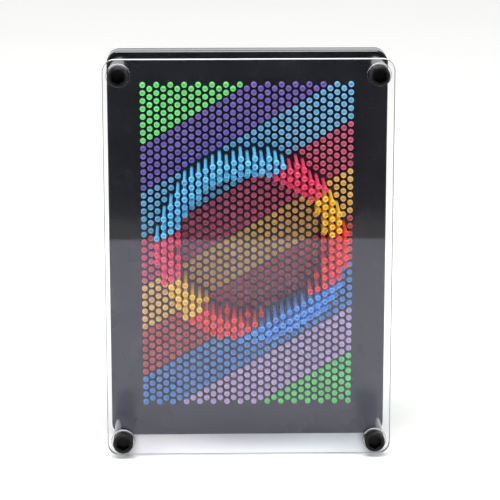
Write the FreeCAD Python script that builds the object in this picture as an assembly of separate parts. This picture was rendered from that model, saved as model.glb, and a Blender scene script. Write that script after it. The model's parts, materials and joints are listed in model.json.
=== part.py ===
import FreeCAD, Part
import math
import os

# Pin art impression toy, standing upright on its long ends.
# Frame: millimetres, +X to the right, +Y to the back, +Z up. The origin is on the table, below the
# middle of the toy's width and depth. The clear cover faces -Y.

Vector = FreeCAD.Vector
BACKWARD = Vector(0, 1, 0)

# The sheets: clear cover, perforated front plate, spacer frame and perforated back plate. The last
# three are the body, which is a little narrower and lower than the cover.
SHEET_WIDTH = 149.7
SHEET_HEIGHT = 212.2
BODY_SIDE_INSET = 0.95
BODY_TOP_DROP = 1.3
CORNER_RADIUS = 6.5
COVER_THICKNESS = 3.0
PLATE_THICKNESS = 2.5
FRAME_DEPTH = 7.0
FRAME_WALL = 4.0
COVER_BEVEL = 0.25
PLATE_BEVEL = 0.4

# The space that the pins slide in, between the front plate and the cover
IMAGE_DEPTH = 32.0

# The corner posts, and the screws that run through them and the body
POST_INSET = 8.2
POST_RADIUS = 5.25
SCREW_RADIUS = 2.5
SCREW_HOLE_RADIUS = 2.75
SCREW_HEAD_RADIUS = 5.3
SCREW_HEAD_HEIGHT = 6.0
SOCKET_ACROSS_FLATS = 6.5
SOCKET_DEPTH = 3.4
SCREW_HEAD_BEVEL = 0.9
END_BEVEL = 0.6
POST_BEVEL = 0.3
COLLAR_RADIUS = 6.25
COLLAR_BORE_RADIUS = 5.6
COLLAR_HEIGHT = 0.7
COLLAR_BEVEL = 0.2

# The frame's corner bosses, and the round cap nuts behind the back plate
BOSS_RADIUS = 8.2
NUT_RADIUS = 5.3
NUT_HEIGHT = 7.5
NUT_BORE_RADIUS = 2.6
NUT_BORE_DEPTH = 6.0
NUT_GRIPS = 16
NUT_GRIP_RADIUS = 0.5
SCREW_ENGAGEMENT = 5.6

# The pins stand on a triangular grid of upright columns, which is a little up and left of the
# cover's middle. Odd columns sit half a step lower.
PITCH = 4.25
COLUMN_STEP = 3.66
COLUMNS = 31
LONG_COLUMN_PINS = 42
GRID_RISE = 0.3
GRID_SHIFT = -0.3

# One pin
HEAD_RADIUS = 1.48
HEAD_LENGTH = 2.2
HEAD_EDGE_DEPTHS = [0.0, 0.07, 0.24, 0.55]
HEAD_EDGE_INSETS = [0.5, 0.24, 0.08, 0.0]
HEAD_UNDERCUT = 0.2
DISH_RADIUS = 0.9
DISH_DEPTH = 0.5
SHANK_RADIUS = 0.88
TAIL_BEVEL = 0.3
TAIL_OVERHANG = 1.5
PIN_HOLE_RADIUS = 1.08
HEAD_REST_GAP = 0.1
HEAD_FRONT_GAP = 0.2

# Bands of colour run across the grid, rising to the right, from the top left corner down
BANDS = ["upper_green", "purple", "sky", "crimson", "amber", "red", "blue", "lilac", "lower_green"]
FIRST_BAND_STEPS = 16
BAND_STEPS = 12

# The impression in the pins is the rim of a round cup, pressed in until its crest nearly meets the
# cover: a ring of nearly even height, a little lower along both of its sides
RING_SHIFT = 2.0
RING_RISE = 4.4
RING_RADIUS = 44.6
RING_HALF_WIDTH = 5.8
RING_TRAIL_WIDTH = 0.7
OUTER_EDGE_DROP = 2.2
INNER_EDGE_DROP = 3.8
UNEVENNESS = 0.35

# How far the pins of each level of the impression stand forward. The crest is the highest.
LEVELS = {"crest": 29.0, "brow": 28.0, "shoulder": 26.8, "edge": 25.2, "trail": 15.0}

# Points closer than this are one point
SAME_PLACE = 1e-6

BODY_HALF_WIDTH = SHEET_WIDTH / 2 - BODY_SIDE_INSET
BODY_HEIGHT = SHEET_HEIGHT - BODY_TOP_DROP

# Depths of the faces, from front to back
LONGEST_PIN_TRAVEL = IMAGE_DEPTH - HEAD_LENGTH - HEAD_REST_GAP - HEAD_FRONT_GAP
BODY_DEPTH = FRAME_DEPTH + 2 * PLATE_THICKNESS
TAIL_LENGTH = LONGEST_PIN_TRAVEL + TAIL_OVERHANG
WHOLE_DEPTH = SCREW_HEAD_HEIGHT + COVER_THICKNESS + IMAGE_DEPTH + BODY_DEPTH + TAIL_LENGTH
COVER_FRONT = SCREW_HEAD_HEIGHT - WHOLE_DEPTH / 2
COVER_BACK = COVER_FRONT + COVER_THICKNESS
PLATE_FRONT = COVER_BACK + IMAGE_DEPTH
FRAME_FRONT = PLATE_FRONT + PLATE_THICKNESS
FRAME_BACK = FRAME_FRONT + FRAME_DEPTH
BODY_BACK = FRAME_BACK + PLATE_THICKNESS

# Places of the grid's middle row and of the ring's centre
GRID_MIDDLE = SHEET_HEIGHT / 2 + GRID_RISE
RING_MIDDLE_X = GRID_SHIFT + RING_SHIFT
RING_MIDDLE_Z = GRID_MIDDLE + RING_RISE

POST_SPAN_X = SHEET_WIDTH / 2 - POST_INSET
CORNERS = {
    "upper_left": (-POST_SPAN_X, SHEET_HEIGHT - POST_INSET),
    "upper_right": (POST_SPAN_X, SHEET_HEIGHT - POST_INSET),
    "lower_left": (-POST_SPAN_X, POST_INSET),
    "lower_right": (POST_SPAN_X, POST_INSET),
}


def rod(x, z, front, back, radius):
    """A plain round rod along the depth axis."""
    return Part.makeCylinder(radius, back - front, Vector(x, front, z), BACKWARD)


def beveled_rod(x, z, front, back, radius, bevel):
    """A round rod with both end edges beveled."""
    solid = rod(x, z, front, back, radius)
    rims = [edge for edge in solid.Edges if edge.Closed and isinstance(edge.Curve, Part.Circle)]
    return solid.makeChamfer(bevel, rims)


def hexagon(x, z, front, back, across_flats):
    """A hexagonal bar along the depth axis, with a corner at its top."""
    reach = across_flats / math.sqrt(3)
    corners = []
    for turn in range(7):
        angle = math.radians(60 * turn + 30)
        corners.append(Vector(x + reach * math.cos(angle), front, z + reach * math.sin(angle)))
    return Part.Face(Part.makePolygon(corners)).extrude(BACKWARD * (back - front))


def rounded_outline(half_width, height, inset, radius, depth):
    """A sheet's outline, moved inwards by inset, as a closed wire at one depth."""
    left = inset - half_width
    right = half_width - inset
    bottom = inset
    top = height - inset
    lean = radius * (1 - math.sqrt(0.5))
    corners = [
        (left, bottom, 1, 1),
        (right, bottom, -1, 1),
        (right, top, -1, -1),
        (left, top, 1, -1),
    ]
    arcs = []
    for x, z, inward_x, inward_z in corners:
        beside = Vector(x, depth, z + radius * inward_z)
        middle = Vector(x + lean * inward_x, depth, z + lean * inward_z)
        along = Vector(x + radius * inward_x, depth, z)
        ends = [beside, along] if inward_x == inward_z else [along, beside]
        arcs.append(Part.Arc(ends[0], middle, ends[1]))
    edges = []
    for arc, following in zip(arcs, arcs[1:] + arcs[:1]):
        edges.append(arc.toShape())
        edges.append(Part.LineSegment(arc.EndPoint, following.StartPoint).toShape())
    return Part.Wire(edges)


def sheet(half_width, height, front, thickness, holes, bevel):
    """A rounded sheet standing on its edge, with round holes given as (x, z, radius)."""
    rims = [rounded_outline(half_width, height, 0, CORNER_RADIUS, front)]
    for x, z, radius in holes:
        rims.append(Part.Wire(Part.makeCircle(radius, Vector(x, front, z), BACKWARD)))
    blank = Part.makeFace(rims, "Part::FaceMakerBullseye").extrude(BACKWARD * thickness)
    return blank.makeChamfer(bevel, outer_edges(blank, front) + outer_edges(blank, front + thickness))


def outer_edges(solid, depth):
    """The edges of a sheet's outline at one depth, without those of its holes."""
    for face in solid.Faces:
        box = face.BoundBox
        if max(abs(box.YMin - depth), abs(box.YMax - depth)) < SAME_PLACE:
            return face.OuterWire.Edges
    raise ValueError("no flat face lies at this depth")


def corner_holes(radius):
    return [(x, z, radius) for x, z in CORNERS.values()]


def pin_places():
    """Every pin's column, its row counted in half steps from the top, and its x and z."""
    for column in range(COLUMNS):
        offset = column % 2
        for row in range(LONG_COLUMN_PINS - offset):
            half_steps = 2 * row + offset
            x = GRID_SHIFT + (column - (COLUMNS - 1) / 2) * COLUMN_STEP
            z = GRID_MIDDLE + (LONG_COLUMN_PINS - 1 - half_steps) * PITCH / 2
            yield column, half_steps, x, z


def band_of(column, half_steps):
    """The colour band of a pin. One column to the right counts as half a step down."""
    steps = column + half_steps
    if steps < FIRST_BAND_STEPS:
        return BANDS[0]
    return BANDS[min(1 + (steps - FIRST_BAND_STEPS) // BAND_STEPS, len(BANDS) - 1)]


def unevenness(column, half_steps):
    """A small fixed difference between pins, from -1 to 1, since they stop by friction alone."""
    wave = math.sin(12.9898 * column + 78.233 * half_steps) * 43758.5453
    return 2 * (wave - math.floor(wave)) - 1


def level_of(x, z):
    """The level of the impression that a pin belongs to, or None outside the ring."""
    reach = math.hypot(x - RING_MIDDLE_X, z - RING_MIDDLE_Z) - RING_RADIUS
    if abs(reach) <= RING_HALF_WIDTH:
        edge_drop = OUTER_EDGE_DROP if reach > 0 else INNER_EDGE_DROP
        push = LEVELS["crest"] - edge_drop * (reach / RING_HALF_WIDTH) ** 2
        return min(LEVELS, key=lambda name: abs(LEVELS[name] - push))
    if -RING_HALF_WIDTH - RING_TRAIL_WIDTH < reach < 0:
        return "trail"
    return None


def make_pin():
    """One pin at its rearmost place: dished round head, plain shank and beveled tail."""
    front = PLATE_FRONT - HEAD_REST_GAP - HEAD_LENGTH
    neck = front + HEAD_LENGTH
    tail = BODY_BACK + TAIL_LENGTH
    dish_radius = (DISH_RADIUS**2 + DISH_DEPTH**2) / (2 * DISH_DEPTH)
    halfway = DISH_RADIUS / 2
    halfway_depth = DISH_DEPTH - dish_radius + math.sqrt(dish_radius**2 - halfway**2)
    dish = Part.Arc(
        Vector(0, front + DISH_DEPTH, 0),
        Vector(halfway, front + halfway_depth, 0),
        Vector(DISH_RADIUS, front, 0),
    )
    corners = [Vector(DISH_RADIUS, front, 0)]
    for inset, depth in zip(HEAD_EDGE_INSETS, HEAD_EDGE_DEPTHS):
        corners.append(Vector(HEAD_RADIUS - inset, front + depth, 0))
    corners += [
        Vector(HEAD_RADIUS, neck - HEAD_UNDERCUT, 0),
        Vector(HEAD_RADIUS - HEAD_UNDERCUT, neck, 0),
        Vector(SHANK_RADIUS, neck, 0),
        Vector(SHANK_RADIUS, tail - TAIL_BEVEL, 0),
        Vector(SHANK_RADIUS - TAIL_BEVEL, tail, 0),
        Vector(0, tail, 0),
        Vector(0, front + DISH_DEPTH, 0),
    ]
    profile = Part.Face(Part.Wire([dish.toShape()] + Part.makePolygon(corners).Edges))
    return profile.revolve(Vector(0, 0, 0), BACKWARD, 360)


def pin_groups():
    """The pins sorted into groups of one colour that slide as one: node name to list of solids."""
    pin = make_pin()
    groups = {}
    for column, half_steps, x, z in pin_places():
        band = band_of(column, half_steps)
        level = level_of(x, z)
        if level is None:
            node = f"pins_flat_{band}"
            push = 0.0
        else:
            node = f"pins_ring_{level}_{band}"
            push = LEVELS[level] + UNEVENNESS * unevenness(column, half_steps)
        groups.setdefault(node, []).append(pin.translated(Vector(x, -push, z)))
    return groups


def make_cover():
    """The clear cover, with a low collar around each screw's head."""
    holes = corner_holes(SCREW_HOLE_RADIUS)
    half_width = SHEET_WIDTH / 2
    cover = sheet(half_width, SHEET_HEIGHT, COVER_FRONT, COVER_THICKNESS, holes, COVER_BEVEL)
    for x, z in CORNERS.values():
        front = COVER_FRONT - COLLAR_HEIGHT
        collar = rod(x, z, front, COVER_FRONT, COLLAR_RADIUS)
        collar = collar.makeChamfer(COLLAR_BEVEL, [rim_at(collar, front)])
        cover = cover.fuse(collar.cut(rod(x, z, front, COVER_FRONT, COLLAR_BORE_RADIUS)))
    return cover.removeSplitter()


def rim_at(solid, depth):
    """The round edge of a solid whose plane is at one depth."""
    for edge in solid.Edges:
        if isinstance(edge.Curve, Part.Circle) and abs(edge.Curve.Center.y - depth) < SAME_PLACE:
            return edge
    raise ValueError("no round edge lies at this depth")


def make_perforated_plate(front):
    """A plate with a hole for every pin and one for each corner screw."""
    holes = corner_holes(SCREW_HOLE_RADIUS)
    holes += [(x, z, PIN_HOLE_RADIUS) for _, _, x, z in pin_places()]
    return sheet(BODY_HALF_WIDTH, BODY_HEIGHT, front, PLATE_THICKNESS, holes, PLATE_BEVEL)


def make_spacer_frame():
    """The rim between the two plates, with a boss at each corner that a screw runs through."""
    outer = rounded_outline(BODY_HALF_WIDTH, BODY_HEIGHT, 0, CORNER_RADIUS, FRAME_FRONT)
    inner_radius = CORNER_RADIUS - FRAME_WALL
    inner = rounded_outline(BODY_HALF_WIDTH, BODY_HEIGHT, FRAME_WALL, inner_radius, FRAME_FRONT)
    block = Part.Face(outer).extrude(BACKWARD * FRAME_DEPTH)
    frame = block.cut(Part.Face(inner).extrude(BACKWARD * FRAME_DEPTH))
    for x, z in CORNERS.values():
        boss = rod(x, z, FRAME_FRONT, FRAME_BACK, BOSS_RADIUS)
        frame = frame.fuse(boss.common(block))
    for x, z in CORNERS.values():
        frame = frame.cut(rod(x, z, FRAME_FRONT, FRAME_BACK, SCREW_HOLE_RADIUS))
    return frame.removeSplitter()


def make_screw(x, z):
    """A socket head screw that clamps the cover, a post, both plates and the frame."""
    head_front = COVER_FRONT - SCREW_HEAD_HEIGHT
    tip = BODY_BACK + SCREW_ENGAGEMENT
    head = rod(x, z, head_front, COVER_FRONT, SCREW_HEAD_RADIUS)
    head = head.makeChamfer(SCREW_HEAD_BEVEL, [rim_at(head, head_front)])
    head = head.cut(hexagon(x, z, head_front, head_front + SOCKET_DEPTH, SOCKET_ACROSS_FLATS))
    shank = rod(x, z, COVER_FRONT, tip, SCREW_RADIUS)
    shank = shank.makeChamfer(END_BEVEL, [rim_at(shank, tip)])
    return head.fuse(shank).removeSplitter()


def make_rear_nut(x, z):
    """A round cap nut behind the back plate, with grip grooves along its side."""
    back = BODY_BACK + NUT_HEIGHT
    nut = rod(x, z, BODY_BACK, back, NUT_RADIUS)
    nut = nut.makeChamfer(END_BEVEL, [rim_at(nut, back)])
    nut = nut.cut(rod(x, z, BODY_BACK, BODY_BACK + NUT_BORE_DEPTH, NUT_BORE_RADIUS))
    for grip in range(NUT_GRIPS):
        angle = 2 * math.pi * grip / NUT_GRIPS
        groove_x = x + NUT_RADIUS * math.cos(angle)
        groove_z = z + NUT_RADIUS * math.sin(angle)
        nut = nut.cut(rod(groove_x, groove_z, BODY_BACK, back, NUT_GRIP_RADIUS))
    return nut


def make_front_post(x, z):
    """The spacer tube between the cover and the front plate."""
    post = beveled_rod(x, z, COVER_BACK, PLATE_FRONT, POST_RADIUS, POST_BEVEL)
    return post.cut(rod(x, z, COVER_BACK, PLATE_FRONT, SCREW_HOLE_RADIUS))


def save(node, solids):
    """Write one node, which is one solid or a group of separate solids."""
    shape = solids[0] if len(solids) == 1 else Part.makeCompound(solids)
    shape.exportStep(os.path.join("parts", node + ".step"))


def main():
    os.makedirs("parts", exist_ok=True)
    save("front_cover", [make_cover()])
    save("front_plate", [make_perforated_plate(PLATE_FRONT)])
    save("spacer_frame", [make_spacer_frame()])
    save("back_plate", [make_perforated_plate(FRAME_BACK)])
    save("front_screws", [make_screw(x, z) for x, z in CORNERS.values()])
    save("rear_nuts", [make_rear_nut(x, z) for x, z in CORNERS.values()])
    for corner, (x, z) in CORNERS.items():
        save(f"front_post_{corner}", [make_front_post(x, z)])
    for node, pins in pin_groups().items():
        save(node, pins)


main()
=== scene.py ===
import json
import math

import bpy
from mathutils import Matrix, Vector


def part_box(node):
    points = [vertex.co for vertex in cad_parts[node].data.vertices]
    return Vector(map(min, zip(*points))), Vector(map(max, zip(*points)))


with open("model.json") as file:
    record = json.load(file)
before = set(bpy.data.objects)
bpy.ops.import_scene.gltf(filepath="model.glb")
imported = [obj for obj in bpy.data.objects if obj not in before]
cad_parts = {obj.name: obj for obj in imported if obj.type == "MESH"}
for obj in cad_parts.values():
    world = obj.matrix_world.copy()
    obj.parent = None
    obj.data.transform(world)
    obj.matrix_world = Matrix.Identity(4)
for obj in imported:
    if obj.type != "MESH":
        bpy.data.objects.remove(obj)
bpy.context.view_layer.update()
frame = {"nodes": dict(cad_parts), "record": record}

scene = bpy.context.scene
nodes = frame["nodes"]
record = frame["record"]

# The camera, a long lens a little above the toy and left of its middle. Its distance is measured
# from the front plate's face.
PLATE_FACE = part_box("front_plate")[0][1]
CAMERA_PLACE = (-0.0234, PLATE_FACE - 1.14507, 0.39171)
CAMERA_TURN = (75.871, 0.021, -1.243)
CAMERA_LENS = 158.64
SENSOR_WIDTH = 36.0

# The cover's front face, behind its collars, and the thin step over which its paint changes
COLLAR_HEIGHT = 0.0007
SHEET_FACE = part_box("front_cover")[0][1] + COLLAR_HEIGHT
PAINT_STEP = 0.0001

# The pale table. In the cover's reflection it ends at an edge, the horizon, where the dim room begins.
FLOOR_HALF_WIDTH = 4.0
FLOOR_FRONT = -3.0
FLOOR_BACK = 5.0
TABLE_EDGE = PLATE_FACE - 0.5035
ROOM_HEIGHT = 0.002
ROOM_LIGHT = (0.1, 0.1, 0.105, 1)

# The table glows more with the distance behind and beside the toy, so it stays as pale as near by
TABLE_GLOWS = (0.0, 0.285)
TABLE_GLOW_DEPTHS = (0.05, 0.8)
TABLE_GLOW_SIDES = (0.35, 1.35)

# The studio's walls are pale behind the toy and dim in front of it. Between them the light changes
# over the middle of the depth direction.
WALLS_IN_FRONT = 0.1
WALLS_BEHIND = 1.1
WALLS_CHANGE = (-0.6, 0.6)

# Power of the softboxes in watts
TOP_POWER = 10.8
SIDE_POWER = 4.8

# Surface pointiness of the pins' dishes and of their rims, where the paint puts a painted shade in the
# dishes and a paler, whiter painted highlight on the rims
DISH_POINTINESS = 0.44
RIM_POINTINESS = 0.53

# Colours of the moulded pins, by material slot, as sRGB from 0 to 255
PIN_COLOURS = {
    "pin_green": (98, 222, 112),
    "pin_purple": (104, 72, 178),
    "pin_sky": (84, 186, 240),
    "pin_crimson": (250, 44, 98),
    "pin_amber": (255, 184, 24),
    "pin_red": (255, 44, 28),
    "pin_blue": (64, 140, 218),
    "pin_lilac": (196, 172, 214),
}

# Painted shade: five colours are painted duller close to the front plate, where the resting pins sit in
# shade, than where the pins stand out in the light. The paint changes between the two world depths
# below.
SHADED_PIN_COLOURS = {
    "pin_sky": (92, 174, 216),
    "pin_crimson": (198, 54, 106),
    "pin_amber": (226, 184, 88),
    "pin_red": (196, 58, 52),
    "pin_blue": (62, 138, 210),
}
PAINTED_LIGHT_DEPTH = PLATE_FACE - 0.007
PAINTED_SHADE_DEPTH = PLATE_FACE - 0.003
# Painted light: where the pins stand forward, their colour is painted brighter by this gain and with
# only this share of the white
PAINTED_LIGHT_WHITE_SHARE = 0.4
PAINTED_LIGHT_GAIN = 1.15


def linear(colour):
    """An sRGB colour from 0 to 255 as linear RGBA."""
    values = []
    for part in colour:
        part /= 255
        values.append(part / 12.92 if part <= 0.04045 else ((part + 0.055) / 1.055) ** 2.4)
    return (*values, 1.0)


class Paint:
    """A new node material: one Principled shader and helpers for the textures that feed it."""

    def __init__(self, name):
        self.material = bpy.data.materials.new(name)
        self.material.use_nodes = True
        self.tree = self.material.node_tree
        self.tree.nodes.clear()
        self.output = self.add("ShaderNodeOutputMaterial")
        self.shader = self.add("ShaderNodeBsdfPrincipled")
        self.link(self.shader.outputs["BSDF"], self.output.inputs["Surface"])
        self.place = self.add("ShaderNodeTexCoord").outputs["Object"]
        self.height = None

    def add(self, kind):
        return self.tree.nodes.new(kind)

    def link(self, source, target):
        self.tree.links.new(source, target)

    def set(self, **values):
        """Constants on the shader's own sockets. Underscores in the names stand for spaces."""
        for name, value in values.items():
            self.shader.inputs[name.replace("_", " ")].default_value = value

    def stretched(self, scale):
        """The object's coordinates, scaled by three factors."""
        mapping = self.add("ShaderNodeMapping")
        mapping.inputs["Scale"].default_value = scale
        self.link(self.place, mapping.inputs["Vector"])
        return mapping.outputs["Vector"]

    def noise(self, scale, detail=2.0, stretch=(1, 1, 1)):
        """Noise with so many features in a metre."""
        node = self.add("ShaderNodeTexNoise")
        node.inputs["Scale"].default_value = scale
        node.inputs["Detail"].default_value = detail
        self.link(self.stretched(stretch), node.inputs["Vector"])
        return node.outputs["Fac"]

    def ranged(self, value, low, high, start=0.3, end=0.7):
        """A texture's values from start to end, spread between low and high."""
        node = self.add("ShaderNodeMapRange")
        node.inputs["From Min"].default_value = start
        node.inputs["From Max"].default_value = end
        node.inputs["To Min"].default_value = low
        node.inputs["To Max"].default_value = high
        self.link(value, node.inputs["Value"])
        return node.outputs["Result"]

    def facing_aside(self):
        """0 where the surface faces along the depth axis, and 1 where it faces across it."""
        normal = self.parts_of(self.add("ShaderNodeNewGeometry").outputs["True Normal"])
        return self.maths("SUBTRACT", 1.0, self.maths("ABSOLUTE", normal["Y"]))

    def roughness(self, value, low, high):
        self.link(self.ranged(value, low, high), self.shader.inputs["Roughness"])

    def maths(self, operation, *values):
        """One step of arithmetic on textures' values and constants."""
        node = self.add("ShaderNodeMath")
        node.operation = operation
        for value, socket in zip(values, node.inputs):
            if isinstance(value, float):
                socket.default_value = value
            else:
                self.link(value, socket)
        return node.outputs["Value"]

    def parts_of(self, vector):
        """A vector's X, Y and Z."""
        node = self.add("ShaderNodeSeparateXYZ")
        self.link(vector, node.inputs["Vector"])
        return node.outputs

    def mixed(self, value, first, second, start=0.3, end=0.7):
        """Between two colours, each a constant or a texture, by a value from start to end."""
        node = self.add("ShaderNodeMix")
        node.data_type = "RGBA"
        self.link(self.ranged(value, 0.0, 1.0, start, end), node.inputs["Factor"])
        for socket, colour in ((node.inputs[6], first), (node.inputs[7], second)):
            if isinstance(colour, tuple):
                socket.default_value = colour
            else:
                self.link(colour, socket)
        return node.outputs[2]

    def colours(self, value, first, second, start=0.3, end=0.7):
        """The base colour, mixed in the same way."""
        mix = self.mixed(value, first, second, start, end)
        self.link(mix, self.shader.inputs["Base Color"])

    def bump(self, value, strength, distance):
        """Relief from a texture, on top of any relief added before."""
        node = self.add("ShaderNodeBump")
        node.inputs["Strength"].default_value = strength
        node.inputs["Distance"].default_value = distance
        self.link(value, node.inputs["Height"])
        if self.height is not None:
            self.link(self.height, node.inputs["Normal"])
        self.height = node.outputs["Normal"]
        self.link(self.height, self.shader.inputs["Normal"])


def lightened(colour, factor, white):
    """A linear colour made lighter or darker, with some white added."""
    return (*(min(1.0, part * factor + white) for part in colour[:3]), 1.0)


def pin_paint(slot):
    """Glossy moulded plastic. Batches differ slightly, so the colour drifts over the pins. The paint
    also holds painted shade near the front plate and in the dishes, and a paler painted highlight on the
    rims.
    """
    paint = Paint(slot)
    light = linear(PIN_COLOURS[slot])
    dull = linear(SHADED_PIN_COLOURS.get(slot, PIN_COLOURS[slot]))
    depth = paint.parts_of(paint.add("ShaderNodeNewGeometry").outputs["Position"])["Y"]

    def shade(factor, white):
        """One tone of the plastic with painted light: painted brighter and purer where the pin stands
        forward, and painted duller as shade close to the front plate.
        """
        bright = lightened(light, PAINTED_LIGHT_GAIN * factor, PAINTED_LIGHT_WHITE_SHARE * white)
        return paint.mixed(depth, bright, lightened(dull, factor, white), PAINTED_LIGHT_DEPTH, PAINTED_SHADE_DEPTH)

    batches = paint.noise(170, 1.0, (1, 0.02, 1))
    # Painted shade in the dishes and a paler painted highlight on the rims, picked by pointiness
    shaded_dish_paint = paint.mixed(batches, shade(0.64, 0.0), shade(0.78, 0.0))
    highlit_rim_paint = paint.mixed(batches, shade(1.0, 0.05), shade(1.18, 0.10))
    rim = paint.add("ShaderNodeNewGeometry").outputs["Pointiness"]
    paint.colours(rim, shaded_dish_paint, highlit_rim_paint, DISH_POINTINESS, RIM_POINTINESS)
    paint.roughness(paint.noise(900, 2.0), 0.22, 0.38)
    paint.bump(paint.noise(2600, 2.0), 0.12, 0.0001)
    paint.set(IOR=1.49, Coat_Weight=0.15, Coat_Roughness=0.12)
    paint.set(Subsurface_Weight=0.3, Subsurface_Scale=1.0, Subsurface_Radius=(0.001, 0.0009, 0.0008))
    return paint.material


def black_plastic(slot, colours, edge_roughness, saw_marks):
    """Glossy black plastic with dust specks, a faint orange peel and fine handling marks.

    The relief of the saw marks on its edges is in metres.
    """
    paint = Paint(slot)
    specks = paint.ranged(paint.noise(1100, 0.0), 0.0, 1.0, 0.76, 0.82)
    drift = paint.ranged(paint.noise(60, 4.0), 0.0, 0.35)
    paint.colours(paint.maths("MAXIMUM", specks, drift), *colours, 0.0, 1.0)
    gloss = paint.ranged(paint.noise(35, 5.0), 0.07, 0.16)
    edge = paint.ranged(paint.facing_aside(), 0.0, 1.0, 0.5, 0.9)
    dull = paint.ranged(edge, 0.0, edge_roughness, 0.0, 1.0)
    paint.link(paint.maths("MAXIMUM", gloss, dull), paint.shader.inputs["Roughness"])
    paint.bump(paint.maths("MULTIPLY", edge, paint.noise(2200, 3.0)), 1.0, saw_marks)
    paint.bump(paint.noise(420, 2.0), 0.05, 0.0002)
    paint.bump(paint.noise(240, 6.0, (9, 1, 0.6)), 0.03, 0.00008)
    paint.set(IOR=1.5)
    return paint.material


def plate_paint(slot):
    """A plate's glossy face, and its duller sawn edges."""
    return black_plastic(slot, [(0.0065, 0.0066, 0.0085, 1), (0.03, 0.031, 0.036, 1)], 0.6, 0.0003)


def frame_paint(slot):
    """The moulded frame is glossy on all sides."""
    return black_plastic(slot, [(0.008, 0.008, 0.0095, 1), (0.03, 0.031, 0.034, 1)], 0.05, 0.0)


def post_paint(slot):
    """Glossy black turned plastic with faint rings along the depth axis."""
    paint = Paint(slot)
    paint.colours(paint.noise(240, 3.0), (0.006, 0.006, 0.007, 1), (0.012, 0.012, 0.014, 1))
    paint.roughness(paint.noise(500, 3.0, (0.2, 6, 0.2)), 0.10, 0.2)
    paint.bump(paint.noise(700, 1.0, (0.05, 5, 0.05)), 0.08, 0.00012)
    paint.set(IOR=1.3, Specular_IOR_Level=0.4)
    return paint.material


def screw_paint(slot):
    """Black oxide steel: satin, with a fine grain and browner patches where it is handled."""
    paint = Paint(slot)
    paint.colours(paint.noise(330, 4.0), (0.004, 0.004, 0.005, 1), (0.012, 0.011, 0.0105, 1))
    paint.roughness(paint.noise(1500, 4.0), 0.36, 0.48)
    paint.bump(paint.noise(4200, 3.0), 0.15, 0.00008)
    paint.set(IOR=1.22, Specular_IOR_Level=0.5)
    return paint.material


def cover_paint(slot):
    """Clear acrylic that lets lamps through.

    The sheet's top edge and the tops of the collars are frosted, and the sheet's other edges carry a
    painted shade: a dark grey-blue colour with little clarity.
    """
    paint = Paint(slot)
    clear = paint.mixed(paint.noise(12, 2.0), (0.93, 0.94, 0.96, 1), (0.95, 0.958, 0.97, 1))
    depth = paint.parts_of(paint.place)["Y"]
    sheet = paint.ranged(depth, 0.0, 1.0, SHEET_FACE - PAINT_STEP, SHEET_FACE)
    edge = paint.maths("MULTIPLY", sheet, paint.ranged(paint.facing_aside(), 0.0, 1.0, 0.1, 0.25))
    normal = paint.parts_of(paint.add("ShaderNodeNewGeometry").outputs["True Normal"])
    sheet_top = paint.maths("MULTIPLY", sheet, paint.ranged(normal["Z"], 0.0, 1.0, 0.8, 0.95))
    collar = paint.maths("SUBTRACT", 1.0, sheet)
    collar_top = paint.maths("MULTIPLY", collar, paint.ranged(normal["Z"], 0.0, 0.6, 0.3, 0.6))
    top = paint.maths("MAXIMUM", sheet_top, collar_top)
    # Painted shade: the sheet's edges other than its top are painted dark and made less clear
    painted_edge_shade = paint.maths("SUBTRACT", edge, sheet_top)
    paint.colours(painted_edge_shade, clear, (0.13, 0.145, 0.16, 1), 0.0, 1.0)
    wiped = paint.ranged(paint.noise(40, 6.0, (1, 1, 0.4)), 0.0, 0.045)
    rough = paint.maths("MAXIMUM", wiped, paint.ranged(top, 0.0, 0.45, 0.0, 1.0))
    paint.link(rough, paint.shader.inputs["Roughness"])
    clouded = paint.maths("MAXIMUM", top, paint.ranged(painted_edge_shade, 0.0, 0.7, 0.0, 1.0))
    clarity = paint.ranged(clouded, 1.0, 0.1, 0.0, 1.0)
    paint.link(clarity, paint.shader.inputs["Transmission Weight"])
    paint.bump(paint.noise(9, 1.0), 0.04, 0.0006)
    paint.set(IOR=1.49, Specular_Tint=(0.78, 0.77, 1.0, 1))
    rays = paint.add("ShaderNodeLightPath")
    clear = paint.add("ShaderNodeBsdfTransparent")
    clear.inputs["Color"].default_value = (0.95, 0.96, 0.98, 1)
    surface = paint.shader.outputs["BSDF"]
    for kind in ("Is Shadow Ray", "Is Diffuse Ray"):
        mix = paint.add("ShaderNodeMixShader")
        paint.link(rays.outputs[kind], mix.inputs["Fac"])
        paint.link(surface, mix.inputs[1])
        paint.link(clear.outputs["BSDF"], mix.inputs[2])
        surface = mix.outputs["Shader"]
    paint.link(surface, paint.output.inputs["Surface"])
    return paint.material


PAINTERS = {
    "clear_plastic": cover_paint,
    "black_plate": plate_paint,
    "black_frame": frame_paint,
    "black_post": post_paint,
    "black_screw": screw_paint,
}


def paint_nodes():
    """Every CAD node gets the finished material of its slot."""
    finished = {slot: paint(slot) for slot, paint in PAINTERS.items()}
    finished.update({slot: pin_paint(slot) for slot in PIN_COLOURS})
    for part in record["subparts"]:
        slot = part["material_slot"]
        piece = nodes[part["node"]]
        piece.data.materials.clear()
        piece.data.materials.append(finished[slot])


def flat_card(name, corners):
    """A stage rectangle through four points."""
    mesh = bpy.data.meshes.new(name)
    mesh.from_pydata(corners, [], [(0, 1, 2, 3)])
    card = bpy.data.objects.new(name, mesh)
    scene.collection.objects.link(card)
    return card


def level_card(name, front, back, height):
    return flat_card(
        name,
        [
            (-FLOOR_HALF_WIDTH, front, height),
            (FLOOR_HALF_WIDTH, front, height),
            (FLOOR_HALF_WIDTH, back, height),
            (-FLOOR_HALF_WIDTH, back, height),
        ],
    )


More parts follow.
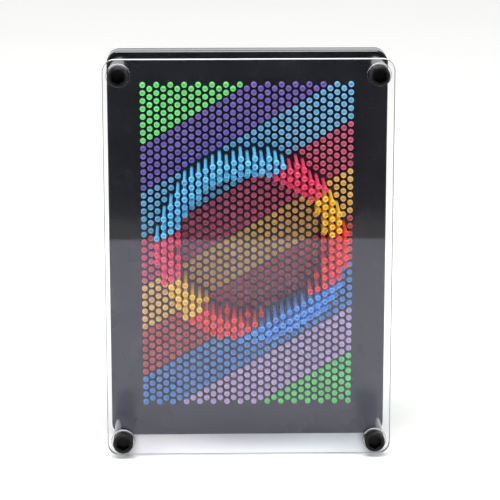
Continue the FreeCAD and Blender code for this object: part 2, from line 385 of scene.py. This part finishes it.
def build_stage():
    """The pale table, and the dim room in front of it that only reflections see."""
    table = level_card("table", FLOOR_FRONT, FLOOR_BACK, 0.0)
    paint = Paint("table")
    paint.colours(paint.noise(3, 2.0), (0.87, 0.87, 0.86, 1), (0.9, 0.9, 0.885, 1))
    place = paint.parts_of(paint.place)
    beside = paint.maths("ABSOLUTE", place["X"])
    beside = paint.ranged(beside, 0.0, 1.0, *TABLE_GLOW_SIDES)
    far = paint.maths("MAXIMUM", place["Y"], beside)
    glow = paint.ranged(far, *TABLE_GLOWS, *TABLE_GLOW_DEPTHS)
    paint.link(glow, paint.shader.inputs["Emission Strength"])
    paint.set(Roughness=0.6, IOR=1.3, Emission_Color=(1.0, 0.995, 0.98, 1))
    table.data.materials.append(paint.material)

    room = level_card("dim_room", FLOOR_FRONT, TABLE_EDGE, ROOM_HEIGHT)
    room.visible_camera = False
    room.visible_diffuse = False
    room.visible_shadow = False
    paint = Paint("dim_room")
    paint.set(Base_Color=(0, 0, 0, 1), Roughness=1.0, Specular_IOR_Level=0.0)
    paint.set(Emission_Color=ROOM_LIGHT, Emission_Strength=1.0)
    room.data.materials.append(paint.material)


def soft_lamp(name, place, target, width, height, power):
    """A rectangular softbox that looks at a point."""
    data = bpy.data.lights.new(name, "AREA")
    data.shape = "RECTANGLE"
    data.size = width
    data.size_y = height
    data.energy = power
    lamp = bpy.data.objects.new(name, data)
    lamp.location = place
    towards = Vector(target) - Vector(place)
    lamp.rotation_euler = towards.to_track_quat("-Z", "Y").to_euler()
    scene.collection.objects.link(lamp)


def build_light():
    world = bpy.data.worlds.new("studio")
    world.use_nodes = True
    tree = world.node_tree
    background = tree.nodes["Background"]
    background.inputs["Color"].default_value = (1.0, 1.0, 1.0, 1)
    direction = tree.nodes.new("ShaderNodeSeparateXYZ")
    tree.links.new(tree.nodes.new("ShaderNodeTexCoord").outputs["Generated"], direction.inputs["Vector"])
    walls = tree.nodes.new("ShaderNodeMapRange")
    walls.inputs["From Min"].default_value = WALLS_CHANGE[0]
    walls.inputs["From Max"].default_value = WALLS_CHANGE[1]
    walls.inputs["To Min"].default_value = WALLS_IN_FRONT
    walls.inputs["To Max"].default_value = WALLS_BEHIND
    tree.links.new(direction.outputs["Y"], walls.inputs["Value"])
    tree.links.new(walls.outputs["Result"], background.inputs["Strength"])
    scene.world = world
    middle = (0.0, 0.0, 0.1)
    soft_lamp("top", (-0.05, -0.22, 1.1), middle, 0.8, 0.35, TOP_POWER)
    soft_lamp("left", (-1.0, -0.3, 0.5), middle, 0.4, 0.6, SIDE_POWER)
    soft_lamp("right", (1.0, -0.3, 0.5), middle, 0.4, 0.6, SIDE_POWER)


def build_camera():
    data = bpy.data.cameras.new("camera")
    data.lens = CAMERA_LENS
    data.sensor_width = SENSOR_WIDTH
    camera = bpy.data.objects.new("camera", data)
    camera.location = CAMERA_PLACE
    camera.rotation_euler = [math.radians(angle) for angle in CAMERA_TURN]
    scene.collection.objects.link(camera)
    scene.camera = camera


build_camera()
build_stage()
build_light()
paint_nodes()
scene.view_settings.view_transform = "Standard"
